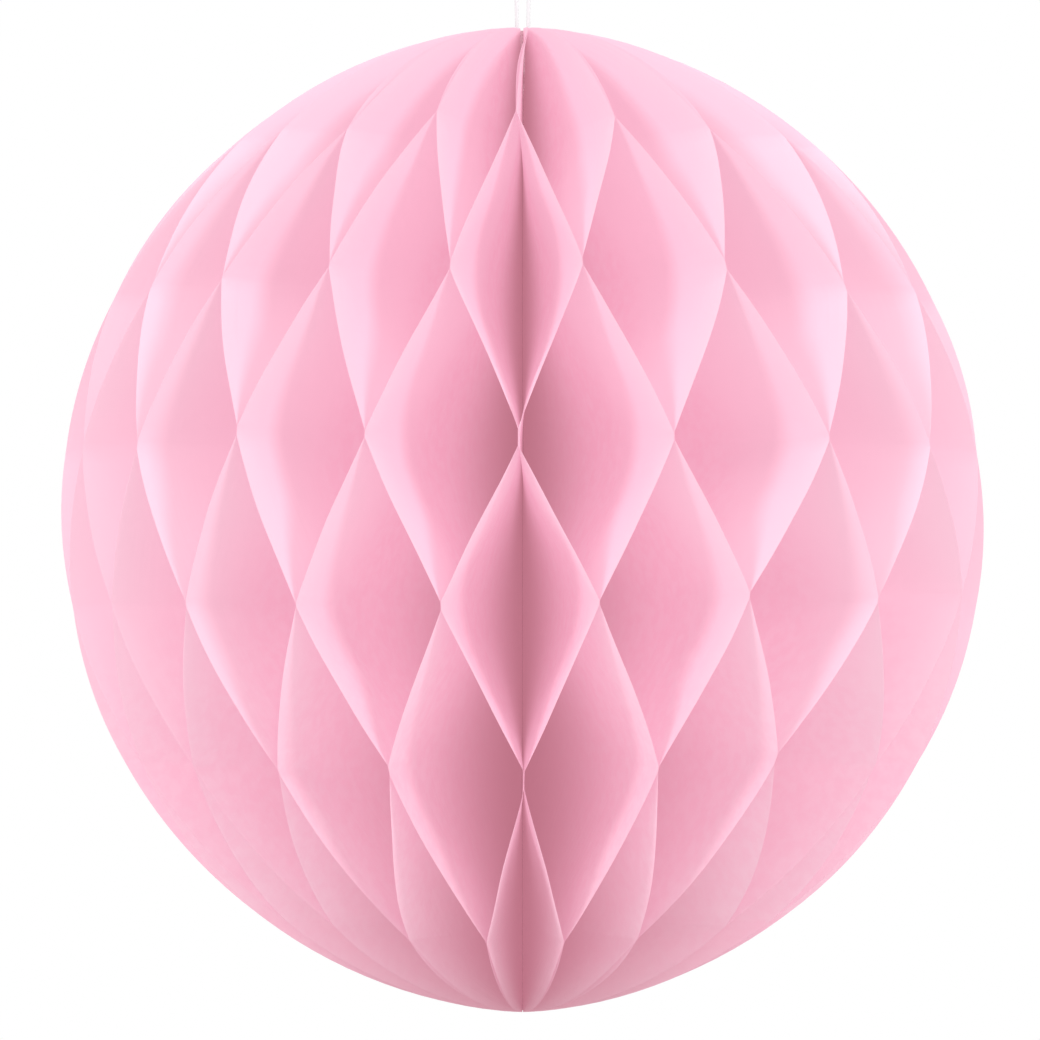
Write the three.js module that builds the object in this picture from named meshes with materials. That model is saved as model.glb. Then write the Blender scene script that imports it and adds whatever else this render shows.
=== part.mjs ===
// Honeycomb paper ball: half-disc tissue leaves fanned round a stitched spine and hung on a thread loop.
// Millimetres, +Z up along the spine, origin at the middle of the ball.
// The front looks along -Y, and the two cover cards meet at the back, in the half-plane towards +Y.
import * as THREE from 'three';

// Ball
const BALL_HEIGHT = 200;
const SPINE_CUT = 7; // how far the straight edge is cut in from the middle of the disc

// Tissue leaves
const LEAF_COUNT = 40;
const LEAF_THICKNESS = 0.12;
const LEAF_GAP = 0.08; // left between two leaves where they are glued
const LEAF_END_EDGE = 0.6; // width of a leaf's blunt tip at each pole
const FAN_SHIFT = THREE.MathUtils.degToRad(5); // the fan opens wider on the front right than on the left
const FAN_SLACK = 1.03; // spare room between leaves at their straight edges

// Glue lines, in rows from the top, alternate rows joining alternate pairs of leaves
const GLUE_ROWS = 6;
const GLUE_PITCH = 31;
const GLUE_DROP = 2.9; // the middle of the rows lies this far below the middle of the ball
const GLUE_WIDTH = 3;
const EDGE_EASE = 0.25; // 0 is a straight zigzag between glue lines, 1 a full S-curve

// Cover cards and the tape between them
const COVER_THICKNESS = 0.4;
const COVER_INSET = 0.5; // the cards are cut this much smaller than the leaves
const TAPE_THICKNESS = 0.1;
const TAPE_GAP = 0.05; // on each side of the tape
const TAPE_WIDTH = 10;
const TAPE_LENGTH = 40;
const TAPE_RADIUS = 72; // from the spine to the middle of a strip
const TAPE_SPREAD = 64; // from the middle of one strip to the middle of the other

// Spine, knot and hanging loop
const SPINE_DIAMETER = 1.2;
const SPINE_MARGIN = 0.4; // the stitching stops this far inside each pole
const LOOP_DIAMETER = 0.9;
const LOOP_SPACING = 2.3; // between the two strands where they leave the ball
const LOOP_TOP_WIDTH = 6;
const LOOP_RISE = 27; // from the top pole to the top of the loop
const LOOP_DEPTH = 9; // how far the strands reach inside the ball
const KNOT_HEIGHT = 2.4;
const KNOT_DIAMETER = 2.8;
const THREAD_CLEARANCE = 0.15;

// Mesh fineness
const STEPS_BETWEEN_ROWS = 3;
const MIN_STEP = 0.05; // cross-sections closer than this are one
const CAP_STEP = THREE.MathUtils.degToRad(9);
const CARD_SEGMENTS = 40;
const THREAD_SIDES = 8;
const KNOT_SEGMENTS = 12;
const LOOP_STEPS = 36;

// The disc that every leaf is cut from has its centre SPINE_CUT behind the spine
const discRadius = Math.hypot(BALL_HEIGHT / 2, SPINE_CUT);
const profileRadius = (z) => Math.sqrt(discRadius ** 2 - z ** 2) - SPINE_CUT;
const profileHeight = (radius) => Math.sqrt(discRadius ** 2 - (radius + SPINE_CUT) ** 2);

const rowHeight = (row) => ((GLUE_ROWS - 1) / 2 - row) * GLUE_PITCH - GLUE_DROP;

// Angle of a meeting plane, from the front (-Y) towards +X; plane 0 and plane LEAF_COUNT are the seam
function planeAngle(plane) {
  const even = (plane / LEAF_COUNT - 0.5) * 2 * Math.PI;
  return even + FAN_SHIFT * Math.sin(even) ** 2;
}

// Half of what the seam holds: half the tape, its gap and one card
const seamHalf = TAPE_THICKNESS / 2 + TAPE_GAP + COVER_THICKNESS;
const planeOffset = (plane) => (plane === 0 || plane === LEAF_COUNT ? seamHalf : 0);

// A leaf needs this radius before its own thickness fits between its two planes
function fittingRadius(plane) {
  const opening = Math.sin(planeAngle(plane + 1) - planeAngle(plane));
  const room = LEAF_THICKNESS + LEAF_GAP + planeOffset(plane) + planeOffset(plane + 1);
  return FAN_SLACK * room / opening;
}

const planes = Array.from({ length: LEAF_COUNT }, (_, plane) => plane);
const middlePlanes = planes.slice(1, -1);
const spineRadius = Math.max(
  SPINE_DIAMETER / 2 + THREAD_CLEARANCE,
  ...middlePlanes.map(fittingRadius),
);
const seamRadius = Math.max(spineRadius, fittingRadius(0), fittingRadius(LEAF_COUNT - 1));

// The straight edges stand back round the knot and the strands at the top
const threadRadius = Math.max(KNOT_DIAMETER, LOOP_SPACING + LOOP_DIAMETER) / 2;
const notchRadius = Math.max(spineRadius, threadRadius + THREAD_CLEARANCE);
const knotTop = BALL_HEIGHT / 2 - LOOP_DEPTH - THREAD_CLEARANCE;
const knotBottom = knotTop - KNOT_HEIGHT;
const notchTop = knotBottom - THREAD_CLEARANCE;
const notchBottom = notchTop - (notchRadius - spineRadius);

// How far a leaf has swung from its even rows (0) to its odd rows (1) at a height
function swing(z) {
  const place = (rowHeight(0) - z) / GLUE_PITCH;
  const row = Math.min(Math.max(Math.floor(place), 0), GLUE_ROWS - 2);
  const flat = GLUE_WIDTH / GLUE_PITCH / 2;
  const along = (place - row - flat) / (1 - 2 * flat);
  const share = THREE.MathUtils.clamp(along, 0, 1);
  const eased = THREE.MathUtils.lerp(share, THREE.MathUtils.smoothstep(share, 0, 1), EDGE_EASE);
  return row % 2 === 0 ? eased : 1 - eased;
}

// Heights at which a leaf has a cross-section, from its lower tip to its upper tip
function leafHeights(tipRadius) {
  const tip = profileHeight(tipRadius);
  const heights = [-tip, tip];
  const flat = GLUE_WIDTH / 2;
  const step = (GLUE_PITCH - GLUE_WIDTH) / STEPS_BETWEEN_ROWS;
  for (let row = 0; row < GLUE_ROWS; row += 1) {
    heights.push(rowHeight(row) + flat);
    const inner = row < GLUE_ROWS - 1 ? STEPS_BETWEEN_ROWS : 1;
    for (let i = 0; i < inner; i += 1) {
      heights.push(rowHeight(row) - flat - i * step);
    }
  }
  for (const end of [rowHeight(0) + flat, rowHeight(GLUE_ROWS - 1) - flat]) {
    const from = Math.asin(THREE.MathUtils.clamp(Math.abs(end) / discRadius, 0, 1));
    const to = Math.asin(tip / discRadius);
    const count = Math.max(Math.ceil((to - from) / CAP_STEP), 1);
    for (let i = 1; i < count; i += 1) {
      const angle = THREE.MathUtils.lerp(from, to, i / count);
      heights.push(Math.sign(end) * discRadius * Math.sin(angle));
    }
  }
  heights.push(notchBottom, notchTop);
  const inside = heights.filter((z) => Math.abs(z) <= tip).sort((a, b) => a - b);
  return inside.filter((z, i) => i === 0 || z - inside[i - 1] > MIN_STEP);
}

// One leaf between two meeting planes: a thin closed strip of cross-sections, each a straight radial line
function leafGeometry(plane) {
  const from = planeAngle(plane);
  const to = planeAngle(plane + 1);
  const atSeam = plane === 0 || plane === LEAF_COUNT - 1;
  const edgeRadius = atSeam ? seamRadius : spineRadius;
  const upperEdge = Math.max(edgeRadius, notchRadius);
  const evenFirst = (plane - Math.round(LEAF_COUNT / 2)) % 2 === 0;
  const heights = leafHeights(upperEdge + LEAF_END_EDGE);
  const half = (LEAF_THICKNESS + LEAF_GAP) / 2;
  const positions = [];
  for (const z of heights) {
    const share = evenFirst ? swing(z) : 1 - swing(z);
    const angle = THREE.MathUtils.lerp(from, to, share);
    const nearSide = half + planeOffset(plane);
    const farSide = -half - planeOffset(plane + 1);
    const middle = THREE.MathUtils.lerp(nearSide, farSide, share);
    const inner = z >= notchTop ? upperEdge : edgeRadius;
    const outer = profileRadius(z);
    const back = middle - LEAF_THICKNESS / 2;
    const front = middle + LEAF_THICKNESS / 2;
    for (const [radius, side] of [[inner, back], [outer, back], [outer, front], [inner, front]]) {
      positions.push(
        radius * Math.sin(angle) + side * Math.cos(angle),
        -radius * Math.cos(angle) + side * Math.sin(angle),
        z,
      );
    }
  }
  return stripGeometry(positions, heights.length);
}

// Joins rings of four corners into a closed strip, with the same diagonals on both of its broad faces
function stripGeometry(positions, rings) {
  const corners = 4;
  const index = [];
  for (let ring = 0; ring < rings - 1; ring += 1) {
    for (let corner = 0; corner < corners; corner += 1) {
      const next = (corner + 1) % corners;
      const a = ring * corners + corner;
      const b = ring * corners + next;
      const c = b + corners;
      const d = a + corners;
      if (corner < corners / 2) {
        index.push(a, b, c, a, c, d);
      } else {
        index.push(a, b, d, b, c, d);
      }
    }
  }
  const last = (rings - 1) * corners;
  index.push(0, 2, 1, 0, 3, 2, last, last + 1, last + 2, last, last + 2, last + 3);
  const geometry = new THREE.BufferGeometry();
  geometry.setAttribute('position', new THREE.Float32BufferAttribute(positions, 3));
  geometry.setIndex(index);
  geometry.computeVertexNormals();
  return geometry;
}

function tissue() {
  return new THREE.MeshStandardMaterial({ color: '#fbb3cd', roughness: 0.9, side: THREE.DoubleSide });
}

function card() {
  return new THREE.MeshStandardMaterial({ color: '#f7a9c6', roughness: 0.8 });
}

function thread() {
  return new THREE.MeshStandardMaterial({ color: '#f1f0f2', roughness: 0.7 });
}

function stitching() {
  return new THREE.MeshStandardMaterial({ color: '#d19eab', roughness: 0.8 });
}

function tape() {
  return new THREE.MeshStandardMaterial({ color: '#efe7dc', roughness: 0.5 });
}

function part(name, geometry, material) {
  const mesh = new THREE.Mesh(geometry, material);
  mesh.name = name;
  return mesh;
}

function makeLeaves() {
  const leaves = new THREE.Group();
  for (const plane of planes) {
    const number = String(plane + 1).padStart(2, '0');
    leaves.add(part(`leaf_${number}`, leafGeometry(plane), tissue()));
  }
  return leaves;
}

// A half-disc card with its straight edge along the spine, drawn with x away from the spine and y up
function coverShape() {
  const radius = discRadius - COVER_INSET;
  const end = Math.acos((seamRadius + SPINE_CUT) / radius);
  const shape = new THREE.Shape();
  shape.absarc(-SPINE_CUT, 0, radius, -end, end, false);
  shape.closePath();
  return shape;
}

// The seam's own frame has x away from the spine, towards +Y, y up and z towards +X
function makeSeam() {
  const seam = new THREE.Group();
  const away = new THREE.Vector3(0, 1, 0);
  const up = new THREE.Vector3(0, 0, 1);
  const across = new THREE.Vector3(1, 0, 0);
  seam.setRotationFromMatrix(new THREE.Matrix4().makeBasis(away, up, across));
  const cover = () => new THREE.ExtrudeGeometry(coverShape(), {
    depth: COVER_THICKNESS,
    bevelEnabled: false,
    curveSegments: CARD_SEGMENTS / 2, // a round arc takes two pieces for each
  });
  const right = part('cover_card_right', cover(), card());
  right.position.z = TAPE_THICKNESS / 2 + TAPE_GAP;
  const left = part('cover_card_left', cover(), card());
  left.position.z = -seamHalf;
  const strip = () => new THREE.BoxGeometry(TAPE_WIDTH, TAPE_LENGTH, TAPE_THICKNESS);
  const upper = part('closing_tape_upper', strip(), tape());
  upper.position.set(TAPE_RADIUS, TAPE_SPREAD / 2, 0);
  const lower = part('closing_tape_lower', strip(), tape());
  lower.position.set(TAPE_RADIUS, -TAPE_SPREAD / 2, 0);
  seam.add(right, left, upper, lower);
  return seam;
}

function makeSpine() {
  const length = BALL_HEIGHT - 2 * SPINE_MARGIN;
  const radius = SPINE_DIAMETER / 2;
  const spine = part(
    'spine_thread',
    new THREE.CylinderGeometry(radius, radius, length, THREAD_SIDES),
    stitching(),
  );
  spine.rotation.x = Math.PI / 2;
  return spine;
}

// A ring of thread round the spine, round in section, that the two strands stand on
function makeKnot() {
  const inner = SPINE_DIAMETER / 2 + THREAD_CLEARANCE;
  const outer = KNOT_DIAMETER / 2;
  const middle = (inner + outer) / 2;
  const profile = new THREE.EllipseCurve(middle, 0, outer - middle, KNOT_HEIGHT / 2);
  const ring = new THREE.LatheGeometry(profile.getPoints(THREAD_SIDES), KNOT_SEGMENTS);
  const knot = part('loop_knot', ring, stitching());
  knot.rotation.x = Math.PI / 2;
  knot.position.z = (knotTop + knotBottom) / 2;
  return knot;
}

// The loop rises from the knot, leaves the ball at the top pole and closes over a hook
function makeLoop() {
  const pole = BALL_HEIGHT / 2;
  const narrow = LOOP_SPACING / 2;
  const wide = LOOP_TOP_WIDTH / 2;
  const top = pole + LOOP_RISE;
  const flare = wide - narrow;
  const rise = LOOP_RISE - wide;
  const strand = [
    [narrow, pole - LOOP_DEPTH],
    [narrow, pole - LOOP_DEPTH / 2],
    [narrow, pole],
    [narrow + 0.05 * flare, pole + 0.25 * rise],
    [narrow + 0.2 * flare, pole + 0.5 * rise],
    [narrow + 0.55 * flare, pole + 0.75 * rise],
    [wide, pole + rise],
    [0.7 * wide, top - 0.3 * wide],
  ];
  const leftStrand = strand.map(([x, z]) => new THREE.Vector3(-x, 0, z));
  const rightStrand = strand.map(([x, z]) => new THREE.Vector3(x, 0, z)).reverse();
  const route = [...leftStrand, new THREE.Vector3(0, 0, top), ...rightStrand];
  const section = new THREE.Shape();
  section.absarc(0, 0, LOOP_DIAMETER / 2, 0, 2 * Math.PI, false);
  const tube = new THREE.ExtrudeGeometry(section, {
    steps: LOOP_STEPS,
    curveSegments: THREAD_SIDES / 2,
    bevelEnabled: false,
    extrudePath: new THREE.CatmullRomCurve3(route),
  });
  return part('hanging_loop', tube, thread());
}

const ball = new THREE.Group();
ball.add(makeLeaves(), makeSeam(), makeSpine(), makeKnot(), makeLoop());

export default ball;
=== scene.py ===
# Honeycomb paper ball: pink tissue leaves fanned round a stitched spine and hung on a white thread loop.
# Metres, in the CAD model's frame: +Z up along the spine, the front towards -Y, the seam towards +Y.
import math
import random
from dataclasses import dataclass

import bpy
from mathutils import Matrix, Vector, noise


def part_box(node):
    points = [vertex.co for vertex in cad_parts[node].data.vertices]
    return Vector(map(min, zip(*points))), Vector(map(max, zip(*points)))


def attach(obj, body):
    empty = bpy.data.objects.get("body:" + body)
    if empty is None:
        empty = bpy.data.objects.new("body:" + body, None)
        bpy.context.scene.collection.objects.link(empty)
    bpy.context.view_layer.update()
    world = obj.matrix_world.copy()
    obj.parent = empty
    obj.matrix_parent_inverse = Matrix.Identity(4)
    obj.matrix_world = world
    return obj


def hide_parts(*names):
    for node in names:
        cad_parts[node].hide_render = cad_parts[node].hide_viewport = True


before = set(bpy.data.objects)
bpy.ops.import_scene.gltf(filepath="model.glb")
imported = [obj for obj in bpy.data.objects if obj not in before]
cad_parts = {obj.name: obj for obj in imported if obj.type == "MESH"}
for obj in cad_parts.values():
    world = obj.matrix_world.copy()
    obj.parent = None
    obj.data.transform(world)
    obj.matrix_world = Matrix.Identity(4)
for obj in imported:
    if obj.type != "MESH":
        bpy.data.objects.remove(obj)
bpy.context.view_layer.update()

MM = 0.001

# View, fitted to the outline and the glue joints of the square photograph
PHOTO_SIDE = 1040  # pixels
PIXELS_PER_METRE = 4917  # at the spine
BALL_MIDDLE = (522.6, 518.5)  # pixel at which the middle of the ball lies
VIEW_DISTANCE = 0.8
VIEW_RISE = math.radians(-1.84)  # the camera stands a little low and looks up
SENSOR = 36.0  # width of the camera's sensor, in the camera's own millimetres

# Ball
BALL_HEIGHT = 200 * MM
SPINE_CUT = 7 * MM  # how far the straight edge is cut in from the middle of the disc
LEAF_COUNT = 40
FAN_SHIFT = math.radians(5)  # the fan opens wider on the front right than on the left

# Glue lines, in rows from the top, alternate rows joining alternate pairs of leaves
GLUE_ROWS = 6
GLUE_PITCH = 31 * MM
GLUE_DROP = 2.9 * MM  # by which the middle of the rows lies below the middle of the ball
GLUE_WIDTH = (0.8 * MM, 2.2 * MM)  # least and most at the outer edge
WIDE_GLUE = 3.4 * MM  # at the two longest joints of the front
WIDE_JOINTS = ((0, 2), (0, 4))  # their half-columns from the front, and their rows
SLACK_GLUE_WIDTH = 3 * MM  # further in, where the paper is slack
EDGE_EASE = 0.05  # how softly a leaf leaves its joints at the taut edge, where 0 is a sharp fold
SLACK_EASE = 0.8  # and where the paper is slack
SLACK_DEPTH = 20 * MM  # from the taut outer edge to where the paper is slack

# Glue joints at the front that the ball's opening by hand has left out of line, row by row from the top:
# a joint's half-columns from the front give its turn in degrees and its rise in millimetres
UNEVEN_JOINTS = (
    {-4: (1.7, -1.5), -2: (1.5, 1.2), 0: (-1.2, 1.2), 2: (-1.6, 0.5), 4: (-2.3, -0.8)},
    {-3: (0.4, 0.9), -1: (-0.3, 0.2), 1: (-1.5, 0.9), 3: (-1.0, 1.0), 5: (-0.9, -1.6)},
    {-6: (-1.2, -0.5), -4: (-0.5, 1.2), -2: (-0.5, 0.0), 0: (-0.5, -0.8), 2: (-1.2, -0.5)},
    {
        -5: (-0.7, 0.3), -3: (-0.9, 0.0), -1: (-0.4, -0.3), 1: (-0.4, 0.4),
        3: (-1.2, 1.8), 5: (-1.0, 1.1), 7: (1.4, 2.5),
    },
    {-2: (-0.2, 0.7), 0: (0.2, -1.0), 2: (-0.5, 0.9), 4: (-2.4, 2.6)},
    {-3: (0.6, -2.0), -1: (1.0, -2.3), 1: (-0.1, -2.1), 3: (-2.5, -2.0)},
)

# The other joints are scattered a little
RANDOM_SEED = 7
ANGLE_SCATTER = math.radians(0.25)
HEIGHT_SCATTER = 0.4 * MM

# Flaps, past the last glue lines, where the pairs gape
FLAP_OPENING = math.radians(1.4)
GAPE_SHARE = (0.2, 1.0)  # least and most of that opening
CLOSED_PLANES = (-2, -1, 0, 1, 2)  # half-columns from the front whose pairs gape the least
LEANING_JOINT = (0, 0)  # half-column and row of the front pair at the top
FRONT_LEAN = math.radians(8)  # by which that pair turns to the right at the top pole
LEAN_POWER = 4  # so that most of the turn comes close to the pole

# Leaves
LEAF_SPACING = 0.1 * MM  # between the middles of two leaves where they are glued
SPINE_RADIUS = 0.75 * MM  # from the axis to the straight edges
SEAM_RADIUS = 4.6 * MM  # the same for the two leaves at the seam
THREAD_RADIUS = 1.75 * MM  # room round the knot and the strands at the top
NOTCH_HEIGHT = 86 * MM  # from which the straight edges draw back to give that room
NOTCH_EASE = 3 * MM
TIP_WIDTH = 0.6 * MM  # of a leaf where it ends near a pole
SEAM_HALF = 0.5 * MM  # half the tape, its gap and one cover card
WRINKLE = 0.5 * MM
WRINKLE_LENGTH = 17 * MM
WRINKLE_FADE = 40 * MM  # radius within which the wrinkles shrink towards the spine
WRINKLE_SHIFT = 3.7  # from leaf to leaf, so that no two wrinkle alike

# Charts of a leaf: one of its depth and rows, and one of how deep a point lies, which sets the painted edge
# light and the painted shade
CHART_WIDTH = 100 * MM  # depth from the outer edge that the first chart spans
IDLE_COORDINATE = 0.5  # of the second chart, which needs only one
PAINTED_SHADE_TILT = 0.36  # painted shade: light comes from above, so the paper is painted as less deep near the top, deeper below
LIGHT_SPAN = 60 * MM  # height above or below the middle at which the tilt is full

# Mesh fineness
SPAN_STEPS = 12
FLAP_STEPS = 14
DEPTH_STEPS = 14
EDGE_CROWDING = 1.5  # power by which the depth steps crowd towards the outer edge
LOOP_STEPS = 14  # between two points of the loop's route
SPINE_STEPS = 400
KNOT_STEPS = 40  # to a turn

# Thread
LOOP_DIAMETER = 0.9 * MM
LOOP_TOP = 127 * MM
STRAND_ACROSS = 1.15  # millimetres from the spine to a strand, where it leaves the ball
LOOP_STRAND = (  # the CAD loop's own points along one strand, in millimetres across and up
    (STRAND_ACROSS, 91), (STRAND_ACROSS, 95.5), (STRAND_ACROSS, 100), (1.2425, 106),
    (1.52, 112), (2.1675, 118), (3, 124), (2.1, 126.1),
)
SPINE_DIAMETER = 1.2 * MM
SPINE_END = 99.6 * MM
KNOT_THREAD = 0.75 * MM
KNOT_TURNS = 3
PLIES = 3
PLY_SIDES = 6
TWIST_LENGTH = 2.2 * MM

# Colours in linear light, a pair being the darker and the paler shade of a grained surface
WHITE = (1, 1, 1, 1)
TISSUE_SHADES = ((0.96, 0.612, 0.728, 1), (0.965, 0.652, 0.758, 1))
# painted edge light: paler pink along a leaf's outer edge, where more light falls
TISSUE_PAINTED_EDGE_LIGHT = (0.97, 0.667, 0.772, 1)
# painted shade: deeper pink towards the spine, where the crowded leaves shut out light and colour it pink
TISSUE_PAINTED_SHADE = (0.75, 0.45, 0.525, 1)
CARD_SHADES = ((0.88, 0.40, 0.56, 1), (0.95, 0.52, 0.67, 1))
TAPE_SHADES = ((0.80, 0.75, 0.66, 1), (0.90, 0.87, 0.80, 1))
COTTON_SHADES = ((0.78, 0.78, 0.79, 1), (0.90, 0.90, 0.91, 1))
# painted shade and pink bounce light on the white thread of the spine and knot, shut in among the leaves
SHADED_THREAD_SHADES = ((0.60, 0.32, 0.39, 1), (0.68, 0.38, 0.45, 1))
FLOOR_SHADES = ((0.79, 0.79, 0.79, 1), (0.81, 0.81, 0.81, 1))

# Tissue paper
PAINTED_EDGE_LIGHT_BAND = (0.14, 0.36)  # depth over which the painted edge light, paler along the free outer edge, gives way to the plain pink
PAINTED_SHADE_BAND = (0.38, 1.0)  # depth over which the plain pink deepens into painted shade towards the spine
CREASES = (60, 5, 1)  # fine across a leaf's depth, long down its rows
TRANSLUCENCY = 0.1

# Floor and light
FLOOR_HEIGHT = -0.30
FLOOR_SIZE = 8.0
FLOOR_FADE = (0.3, 1.3)  # distances from its middle over which the floor turns plain white
SKY_STRENGTH = 0.79
WHITE_STRENGTH = 1.0  # of the background as the camera sees it
LAMPS = {  # place, width across and power in watts
    "overhead": ((0.0, -0.6, 1.6), 1.2, 4),
    "left": ((-0.95, -1.3, 0.7), 0.4, 7.2),
    "right": ((0.95, -1.3, 0.7), 0.4, 7.2),
}

# Light paths: past the traced bounces an even fill stands for the light that goes on among the leaves
MOST_BOUNCES = 10
DIFFUSE_BOUNCES = 6
TRANSMISSION_BOUNCES = 8
TRACED_BOUNCES = 2
FILL_REACH = 0.04 * MM  # paper further off than this doesn't dim the fill
FILL_STRENGTH = 1.22

disc_radius = math.hypot(BALL_HEIGHT / 2, SPINE_CUT)


def between(a, b, share):
    return a + (b - a) * share


def clamp(x, low=0.0, high=1.0):
    return min(max(x, low), high)


def smooth(x):
    x = clamp(x)
    return x * x * (3 - 2 * x)


def make_object(name, vertices, faces, material):
    mesh = bpy.data.meshes.new(name)
    mesh.from_pydata(vertices, [], faces)
    mesh.update()
    mesh.materials.append(material)
    obj = bpy.data.objects.new(name, mesh)
    bpy.context.scene.collection.objects.link(obj)
    return obj


# Camera
def make_camera():
    data = bpy.data.cameras.new("photo_camera")
    data.sensor_fit = "HORIZONTAL"
    data.sensor_width = SENSOR
    data.lens = SENSOR * VIEW_DISTANCE * PIXELS_PER_METRE / PHOTO_SIDE
    data.shift_x = 0.5 - BALL_MIDDLE[0] / PHOTO_SIDE
    data.shift_y = BALL_MIDDLE[1] / PHOTO_SIDE - 0.5
    camera = bpy.data.objects.new("photo_camera", data)
    camera.location = VIEW_DISTANCE * Vector((0, -math.cos(VIEW_RISE), math.sin(VIEW_RISE)))
    camera.rotation_euler = (math.pi / 2 - VIEW_RISE, 0, 0)
    bpy.context.scene.collection.objects.link(camera)
    bpy.context.scene.camera = camera


# Materials
class Nodes:
    """A short way to add and link the nodes of one material or world."""

    def __init__(self, owner):
        owner.use_nodes = True
        self.tree = owner.node_tree
        self.tree.nodes.clear()

    def add(self, kind, inputs=None, **settings):
        node = self.tree.nodes.new(kind)
        for name, value in settings.items():
            setattr(node, name, value)
        for socket, value in (inputs or {}).items():
            if isinstance(value, bpy.types.NodeSocket):
                self.tree.links.new(value, node.inputs[socket])
            else:
                node.inputs[socket].default_value = value
        return node

    def place(self):
        return self.add("ShaderNodeTexCoord").outputs["Object"]

    def chart(self, layer):
        return self.add("ShaderNodeUVMap", uv_map=layer).outputs[0]

    def math(self, operation, *values):
        inputs = dict(enumerate(values))
        return self.add("ShaderNodeMath", inputs, operation=operation).outputs[0]

    def ramp(self, value, low, high, start=0.0, end=1.0):
        inputs = {"Value": value, "From Min": low, "From Max": high, "To Min": start, "To Max": end}
        return self.add("ShaderNodeMapRange", inputs, interpolation_type="SMOOTHSTEP").outputs[0]

    def noise(self, vector, scale, detail, roughness):
        inputs = {"Vector": vector, "Scale": scale, "Detail": detail, "Roughness": roughness}
        return self.add("ShaderNodeTexNoise", inputs).outputs["Fac"]

    def blend(self, share, first, second):
        # Of the node's sockets for every kind of value, 6 and 7 take colours and 2 gives one
        inputs = {0: share, 6: first, 7: second}
        return self.add("ShaderNodeMix", inputs, data_type="RGBA").outputs[2]

    def blend_shaders(self, share, first, second):
        return self.add("ShaderNodeMixShader", {0: share, 1: first, 2: second}).outputs[0]

    def bump(self, height, strength, distance):
        inputs = {"Height": height, "Strength": strength, "Distance": distance}
        return self.add("ShaderNodeBump", inputs).outputs[0]

    def surface(self, inputs):
        return self.add("ShaderNodeBsdfPrincipled", inputs).outputs[0]

    def finish(self, shader, kind="ShaderNodeOutputMaterial"):
        self.add(kind, {"Surface": shader})


def tissue_material():
    material = bpy.data.materials.new("tissue_paper")
    nodes = Nodes(material)
    fibres = nodes.noise(nodes.place(), scale=400, detail=2, roughness=0.6)
    pink = nodes.blend(nodes.ramp(fibres, low=0.3, high=0.7), *TISSUE_SHADES)
    # Painted edge light, paler along the free outer edge, and painted shade, deeper pink towards the spine,
    # where the crowded leaves shut out light and colour it pink
    shading_depth = nodes.add("ShaderNodeSeparateXYZ", {0: nodes.chart("PaintedShadeDepth")}).outputs[0]
    pink = nodes.blend(nodes.ramp(shading_depth, *PAINTED_EDGE_LIGHT_BAND), TISSUE_PAINTED_EDGE_LIGHT, pink)
    pink = nodes.blend(nodes.ramp(shading_depth, *PAINTED_SHADE_BAND), pink, TISSUE_PAINTED_SHADE)
    stretched = nodes.add("ShaderNodeMapping", {"Vector": nodes.chart("UVMap"), "Scale": CREASES}).outputs[0]
    creases = nodes.noise(stretched, scale=1.0, detail=1, roughness=0.5)
    normal = nodes.bump(creases, strength=0.25, distance=0.15 * MM)
    inputs = {"Base Color": pink, "Roughness": 0.85, "Specular IOR Level": 0.0, "Normal": normal}
    face = nodes.surface(inputs)
    through = nodes.add("ShaderNodeBsdfTranslucent", {"Color": pink, "Normal": normal}).outputs[0]
    nodes.finish(nodes.blend_shaders(TRANSLUCENCY, face, through))
    return material


def card_material():
    material = bpy.data.materials.new("pink_card")
    nodes = Nodes(material)
    pulp = nodes.noise(nodes.place(), scale=500, detail=5, roughness=0.7)
    colour = nodes.blend(pulp, *CARD_SHADES)
    normal = nodes.bump(pulp, strength=0.2, distance=0.1 * MM)
    inputs = {"Base Color": colour, "Roughness": 0.8, "Specular IOR Level": 0.25, "Normal": normal}
    nodes.finish(nodes.surface(inputs))
    return material


def tape_material():
    material = bpy.data.materials.new("adhesive_strip")
    nodes = Nodes(material)
    film = nodes.noise(nodes.place(), scale=260, detail=3, roughness=0.5)
    colour = nodes.blend(film, *TAPE_SHADES)
    rough = nodes.ramp(film, low=0.2, high=0.8, start=0.35, end=0.55)
    normal = nodes.bump(film, strength=0.1, distance=0.05 * MM)
    nodes.finish(nodes.surface({"Base Color": colour, "Roughness": rough, "Normal": normal}))
    return material


def thread_material(name, shades):
    material = bpy.data.materials.new(name)
    nodes = Nodes(material)
    lint = nodes.noise(nodes.place(), scale=3000, detail=4, roughness=0.7)
    inputs = {
        "Base Color": nodes.blend(lint, *shades),
        "Roughness": 0.75,
        "Specular IOR Level": 0.2,
        "Sheen Weight": 0.3,
        "Normal": nodes.bump(lint, strength=0.3, distance=0.05 * MM),
    }
    nodes.finish(nodes.surface(inputs))
    return material


# Thread pieces
def smooth_route(points, steps):
    """Points of a Catmull-Rom curve through the given ones, with that many steps between two of them."""
    ends = [2 * points[0] - points[1], *points, 2 * points[-1] - points[-2]]
    route = []
    for a, b, c, d in zip(ends, ends[1:], ends[2:], ends[3:]):
        linear = c - a
        square = 2 * a - 5 * b + 4 * c - d
        cubic = 3 * b - a - 3 * c + d
        for i in range(steps):
            t = i / steps
            route.append(0.5 * (2 * b + linear * t + square * t**2 + cubic * t**3))
    return [*route, points[-1]]


def twist_along(route):
    """Each point of a route, with two directions across it and the turn of the twist there."""
    before = [route[0], *route[:-1]]
    after = [*route[1:], route[-1]]
    tangents = [(b - a).normalized() for a, b in zip(before, after)]
    side = tangents[0].orthogonal().normalized()
    rings = []
    travelled = 0.0
    for point, previous, tangent in zip(route, before, tangents):
        travelled += (point - previous).length
        side = (side - tangent * side.dot(tangent)).normalized()
        rings.append((point, side, tangent.cross(side), math.tau * travelled / TWIST_LENGTH))
    return rings


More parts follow.
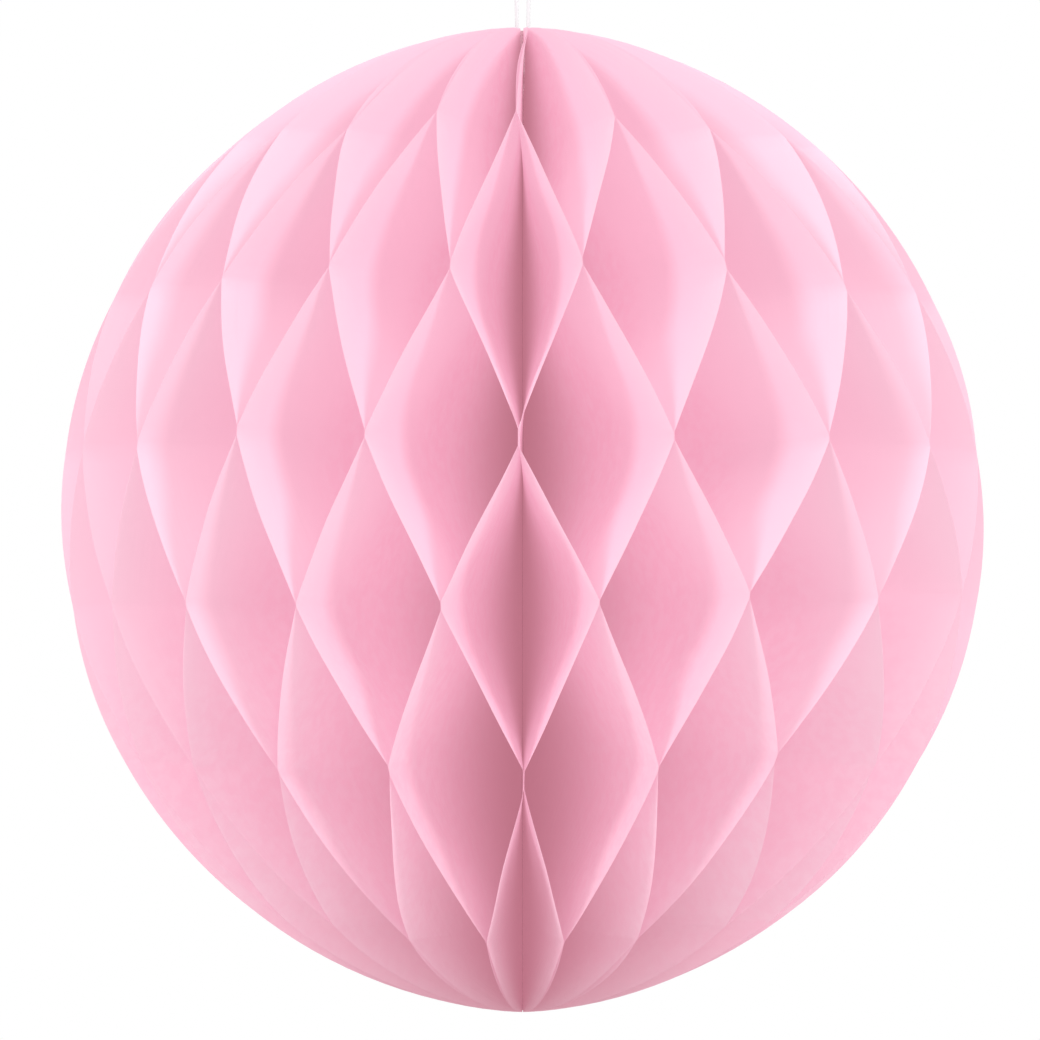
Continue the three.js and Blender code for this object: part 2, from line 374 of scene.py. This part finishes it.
def twisted_thread(name, route, diameter, material):
    """Plies laid round each other along a route, each a closed tube."""
    ply_radius = diameter / 2 / (1 + 1 / math.sin(math.pi / PLIES))
    lay_radius = diameter / 2 - ply_radius
    rings = twist_along(route)
    vertices = []
    faces = []
    for ply in range(PLIES):
        base = len(vertices)
        for point, side, other, twist in rings:
            turn = twist + math.tau * ply / PLIES
            centre = point + lay_radius * (side * math.cos(turn) + other * math.sin(turn))
            for k in range(PLY_SIDES):
                angle = math.tau * k / PLY_SIDES
                vertices.append(centre + ply_radius * (side * math.cos(angle) + other * math.sin(angle)))
        for i in range(len(rings) - 1):
            for k in range(PLY_SIDES):
                a = base + i * PLY_SIDES + k
                b = base + i * PLY_SIDES + (k + 1) % PLY_SIDES
                faces.append((a, b, b + PLY_SIDES, a + PLY_SIDES))
        last = base + (len(rings) - 1) * PLY_SIDES
        faces.append([base + k for k in reversed(range(PLY_SIDES))])
        faces.append([last + k for k in range(PLY_SIDES)])
    thread = make_object(name, vertices, faces, material)
    thread.data.shade_smooth()
    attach(thread, "root")
    return thread


def make_loop(material):
    """The hanging loop: up one strand from the knot, over the top and down the other."""
    left = [Vector((-x, 0, z)) * MM for x, z in LOOP_STRAND]
    right = [Vector((x, 0, z)) * MM for x, z in reversed(LOOP_STRAND)]
    route = smooth_route([*left, Vector((0, 0, LOOP_TOP)), *right], LOOP_STEPS)
    loop = twisted_thread("hanging_loop_thread", route, LOOP_DIAMETER, material)
    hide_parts("hanging_loop")


def make_spine(material):
    heights = [between(-SPINE_END, SPINE_END, i / SPINE_STEPS) for i in range(SPINE_STEPS + 1)]
    route = [Vector((0, 0, height)) for height in heights]
    spine = twisted_thread("spine_stitching", route, SPINE_DIAMETER, material)
    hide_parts("spine_thread")


def make_knot(material):
    low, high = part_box("loop_knot")
    radius = high.x - KNOT_THREAD / 2
    steps = KNOT_STEPS * KNOT_TURNS
    route = []
    for i in range(steps + 1):
        angle = math.tau * KNOT_TURNS * i / steps
        height = between(low.z + KNOT_THREAD / 2, high.z - KNOT_THREAD / 2, i / steps)
        route.append(Vector((radius * math.cos(angle), radius * math.sin(angle), height)))
    knot = twisted_thread("loop_knot_turns", route, KNOT_THREAD, material)
    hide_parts("loop_knot")


# Leaves
@dataclass
class Joint:
    """Where one leaf is glued: the angle from the front towards +X, the height and the leaf's side of it."""

    angle: float
    height: float
    width: float
    gape: float
    lean: float
    side: int
    stand_off: float


def profile_radius(z):
    return math.sqrt(max(disc_radius**2 - z**2, SPINE_CUT**2)) - SPINE_CUT


def profile_height(radius):
    return math.sqrt(disc_radius**2 - (radius + SPINE_CUT) ** 2)


def row_height(row):
    return ((GLUE_ROWS - 1) / 2 - row) * GLUE_PITCH - GLUE_DROP


def plane_angle(plane):
    even = (plane / LEAF_COUNT - 0.5) * math.tau
    return even + FAN_SHIFT * math.sin(even) ** 2


def joint_places():
    """Angle, height, width, gape and lean of every glue joint, uneven as in a ball opened by hand."""
    chance = random.Random(RANDOM_SEED)
    places = {}
    for plane in range(LEAF_COUNT + 1):
        half_column = plane - LEAF_COUNT // 2
        for row in range(GLUE_ROWS):
            turn = chance.uniform(-ANGLE_SCATTER, ANGLE_SCATTER)
            rise = chance.uniform(-HEIGHT_SCATTER, HEIGHT_SCATTER)
            width = chance.uniform(*GLUE_WIDTH)
            gape = chance.uniform(*GAPE_SHARE) * FLAP_OPENING
            if half_column in UNEVEN_JOINTS[row]:
                degrees, millimetres = UNEVEN_JOINTS[row][half_column]
                turn = math.radians(degrees)
                rise = millimetres * MM
            if plane in (0, LEAF_COUNT):
                turn = rise = 0.0
            if (half_column, row) in WIDE_JOINTS:
                width = WIDE_GLUE
            if half_column in CLOSED_PLANES:
                gape = min(GAPE_SHARE) * FLAP_OPENING
            lean = FRONT_LEAN if (half_column, row) == LEANING_JOINT else 0.0
            places[plane, row] = (plane_angle(plane) + turn, row_height(row) + rise, width, gape, lean)
    return places


def joints_of(leaf, places):
    even_first = (leaf - LEAF_COUNT // 2) % 2 == 0
    joints = []
    for row in range(GLUE_ROWS):
        at_first = (row % 2 == 0) == even_first
        plane = leaf if at_first else leaf + 1
        stand_off = SEAM_HALF if plane in (0, LEAF_COUNT) else 0.0
        joints.append(Joint(*places[plane, row], 1 if at_first else -1, stand_off))
    return joints


def leaf_heights(joints, low_tip, high_tip):
    """Heights of a leaf's cross-sections, from its upper tip down."""

    def flap(start, end):
        first = math.asin(start / disc_radius)
        last = math.asin(end / disc_radius)
        return [disc_radius * math.sin(between(first, last, i / FLAP_STEPS)) for i in range(FLAP_STEPS)]

    heights = flap(high_tip, joints[0].height)
    for upper, lower in zip(joints, joints[1:]):
        first = upper.height - upper.width / 2
        last = lower.height + lower.width / 2
        heights.append(upper.height)
        heights.extend(between(first, last, i / SPAN_STEPS) for i in range(SPAN_STEPS + 1))
    heights.append(joints[-1].height)
    heights.extend(reversed(flap(low_tip, joints[-1].height)))
    return heights


def swing(z, upper, lower, slack):
    """How far a leaf has swung from the joint above (0) to the joint below (1)."""
    start = upper.height - between(upper.width, SLACK_GLUE_WIDTH, slack) / 2
    end = lower.height + between(lower.width, SLACK_GLUE_WIDTH, slack) / 2
    along = clamp((start - z) / (start - end))
    return between(along, smooth(along), between(EDGE_EASE, SLACK_EASE, slack))


def taut_share(share, z, upper, lower):
    """The same swing, with the outer edge drawn straight from one joint to the other."""
    top = profile_radius(upper.height)
    bottom = profile_radius(lower.height)
    here = profile_radius(clamp(z, lower.height, upper.height))
    return clamp(0.5 + 0.5 * (bottom * share - top * (1 - share)) / here)


def flap_angle(angle, joints, z):
    """The angle of a leaf, opened and leaned where it is a flap past its first or last joint."""
    pole = math.copysign(BALL_HEIGHT / 2, z)
    for end in (joints[0], joints[-1]):
        if z * end.height > 0 and abs(z) > abs(end.height):
            past = clamp((z - end.height) / (pole - end.height))
            angle += end.side * end.gape * math.sin(math.pi * past)
            angle += end.lean * past**LEAN_POWER
    return angle


def leaf_point(leaf, joints, z, depth):
    """Place and row of the leaf at a height and a depth from its outer edge."""
    index = 0
    while index < GLUE_ROWS - 2 and z < joints[index + 1].height:
        index += 1
    upper, lower = joints[index], joints[index + 1]
    share = taut_share(swing(z, upper, lower, smooth(depth / SLACK_DEPTH)), z, upper, lower)
    angle = flap_angle(between(upper.angle, lower.angle, share), joints, z)
    half = LEAF_SPACING / 2
    side = between(upper.side * (half + upper.stand_off), lower.side * (half + lower.stand_off), share)
    radius = profile_radius(z) - depth
    loose = 4 * share * (1 - share)  # 1 midway between two joints, 0 at them
    spot = Vector((depth / WRINKLE_LENGTH, z / WRINKLE_LENGTH, leaf * WRINKLE_SHIFT))
    side += loose * WRINKLE * noise.noise(spot) * clamp(radius / WRINKLE_FADE)
    outward = Vector((math.sin(angle), -math.cos(angle), 0))
    across = Vector((math.cos(angle), math.sin(angle), 0))
    row = index + (upper.height - z) / (upper.height - lower.height)
    return radius * outward + side * across + Vector((0, 0, z)), row


def painted_shade_depth(point):
    """How deep in the ball a point of a leaf lies, from about 0 at the outer edge to 1 at the spine, counted
    less deep near the top and deeper below as light falls from above; it sets the tissue's painted edge
    light and painted shade.
    """
    tilt = PAINTED_SHADE_TILT * clamp(point.z / LIGHT_SPAN, -1.0, 1.0)
    return 1 - point.xy.length / (profile_radius(max(point.z, 0.0)) * (1 - tilt))


def grid_faces(rows, columns):
    faces = []
    for i in range(rows - 1):
        for j in range(columns - 1):
            a = i * columns + j
            faces.append((a, a + columns, a + columns + 1, a + 1))
    return faces


def add_chart(piece, layer_name, places_on_leaf):
    layer = piece.data.uv_layers.new(name=layer_name)
    for loop in piece.data.loops:
        layer.data[loop.index].uv = places_on_leaf[loop.vertex_index]


def make_leaf(leaf, places, material):
    joints = joints_of(leaf, places)
    at_seam = leaf in (0, LEAF_COUNT - 1)
    inner_radius = SEAM_RADIUS if at_seam else SPINE_RADIUS
    top_radius = max(inner_radius, THREAD_RADIUS)
    low_tip = -profile_height(inner_radius + TIP_WIDTH)
    high_tip = profile_height(top_radius + TIP_WIDTH)
    heights = leaf_heights(joints, low_tip, high_tip)
    points = []
    chart = []
    shade_depths = []
    for z in heights:
        inner = between(inner_radius, top_radius, smooth((z - NOTCH_HEIGHT) / NOTCH_EASE))
        width = profile_radius(z) - inner
        for j in range(DEPTH_STEPS + 1):
            depth = width * (j / DEPTH_STEPS) ** EDGE_CROWDING
            point, row = leaf_point(leaf, joints, z, depth)
            points.append(point)
            chart.append((depth / CHART_WIDTH, (row + 1) / (GLUE_ROWS + 1)))
            # The second chart masks the painted edge light and painted shade of the tissue
            shade_depths.append((painted_shade_depth(point), IDLE_COORDINATE))
    name = f"leaf_{leaf + 1:02d}"
    piece = make_object(f"{name}_tissue", points, grid_faces(len(heights), DEPTH_STEPS + 1), material)
    add_chart(piece, "UVMap", chart)
    add_chart(piece, "PaintedShadeDepth", shade_depths)
    piece.data.shade_smooth()
    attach(piece, "root")
    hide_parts(name)


def make_leaves(material):
    places = joint_places()
    for leaf in range(LEAF_COUNT):
        make_leaf(leaf, places, material)


def dress_cards_and_tapes():
    for names, material in (
        (("cover_card_left", "cover_card_right"), card_material()),
        (("closing_tape_upper", "closing_tape_lower"), tape_material()),
    ):
        for name in names:
            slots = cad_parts[name].data.materials
            slots.clear()
            slots.append(material)


# Floor, world and lamps
def seen_directly(nodes):
    """1 where a surface is seen, plainly, mirrored or through glass, and 0 for the light that it gives."""
    path = nodes.add("ShaderNodeLightPath").outputs
    clear = nodes.math("SUBTRACT", path["Is Transmission Ray"], path["Is Diffuse Ray"])
    mirrored = nodes.math("MAXIMUM", path["Is Glossy Ray"], clear)
    return nodes.math("MAXIMUM", path["Is Camera Ray"], mirrored)


def make_floor():
    material = bpy.data.materials.new("pale_floor")
    nodes = Nodes(material)
    place = nodes.place()
    distance = nodes.add("ShaderNodeVectorMath", {0: place}, operation="LENGTH").outputs["Value"]
    grain = nodes.noise(place, scale=40, detail=3, roughness=0.5)
    colour = nodes.blend(grain, *FLOOR_SHADES)
    far = nodes.math("MULTIPLY", nodes.ramp(distance, *FLOOR_FADE), seen_directly(nodes))
    surface = nodes.add("ShaderNodeBsdfDiffuse", {"Color": colour}).outputs[0]
    white = nodes.add("ShaderNodeEmission", {"Strength": WHITE_STRENGTH}).outputs[0]
    nodes.finish(nodes.blend_shaders(far, surface, white))
    half = FLOOR_SIZE / 2
    corners = [(-half, -half, 0), (half, -half, 0), (half, half, 0), (-half, half, 0)]
    floor = make_object("pale_floor", corners, [(0, 1, 2, 3)], material)
    floor.location.z = FLOOR_HEIGHT


def make_world():
    world = bpy.data.worlds.new("studio")
    bpy.context.scene.world = world
    nodes = Nodes(world)
    sky = nodes.add("ShaderNodeBackground", {"Color": WHITE, "Strength": SKY_STRENGTH}).outputs[0]
    white = nodes.add("ShaderNodeBackground", {"Color": WHITE, "Strength": WHITE_STRENGTH}).outputs[0]
    nodes.finish(nodes.blend_shaders(seen_directly(nodes), sky, white), "ShaderNodeOutputWorld")


def make_lamp(name, place, size, power):
    data = bpy.data.lights.new(name, "AREA")
    data.shape = "DISK"
    data.size = size
    data.energy = power
    lamp = bpy.data.objects.new(name, data)
    lamp.location = place
    lamp.rotation_euler = (-Vector(place)).to_track_quat("-Z", "Y").to_euler()
    bpy.context.scene.collection.objects.link(lamp)


def set_light_paths():
    cycles = bpy.context.scene.cycles
    cycles.max_bounces = MOST_BOUNCES
    cycles.diffuse_bounces = DIFFUSE_BOUNCES
    cycles.transmission_bounces = TRANSMISSION_BOUNCES
    cycles.use_fast_gi = True
    cycles.fast_gi_method = "REPLACE"
    cycles.ao_bounces_render = TRACED_BOUNCES
    fill = bpy.context.scene.world.light_settings
    fill.distance = FILL_REACH
    fill.ao_factor = FILL_STRENGTH
    cycles.debug_use_spatial_splits = True  # quicker to trace among long thin faces


make_camera()
make_loop(thread_material("cotton_thread", COTTON_SHADES))
# The spine and the knot: white thread painted darker and pinker, a painted shade where the leaves shut it in
stitching = thread_material("thread_in_painted_shade", SHADED_THREAD_SHADES)
make_spine(stitching)
make_knot(stitching)
make_leaves(tissue_material())
dress_cards_and_tapes()
make_floor()
make_world()
for lamp_name, (lamp_place, lamp_size, lamp_power) in LAMPS.items():
    make_lamp(lamp_name, lamp_place, lamp_size, lamp_power)
bpy.context.scene.view_settings.view_transform = "Standard"
set_light_paths()
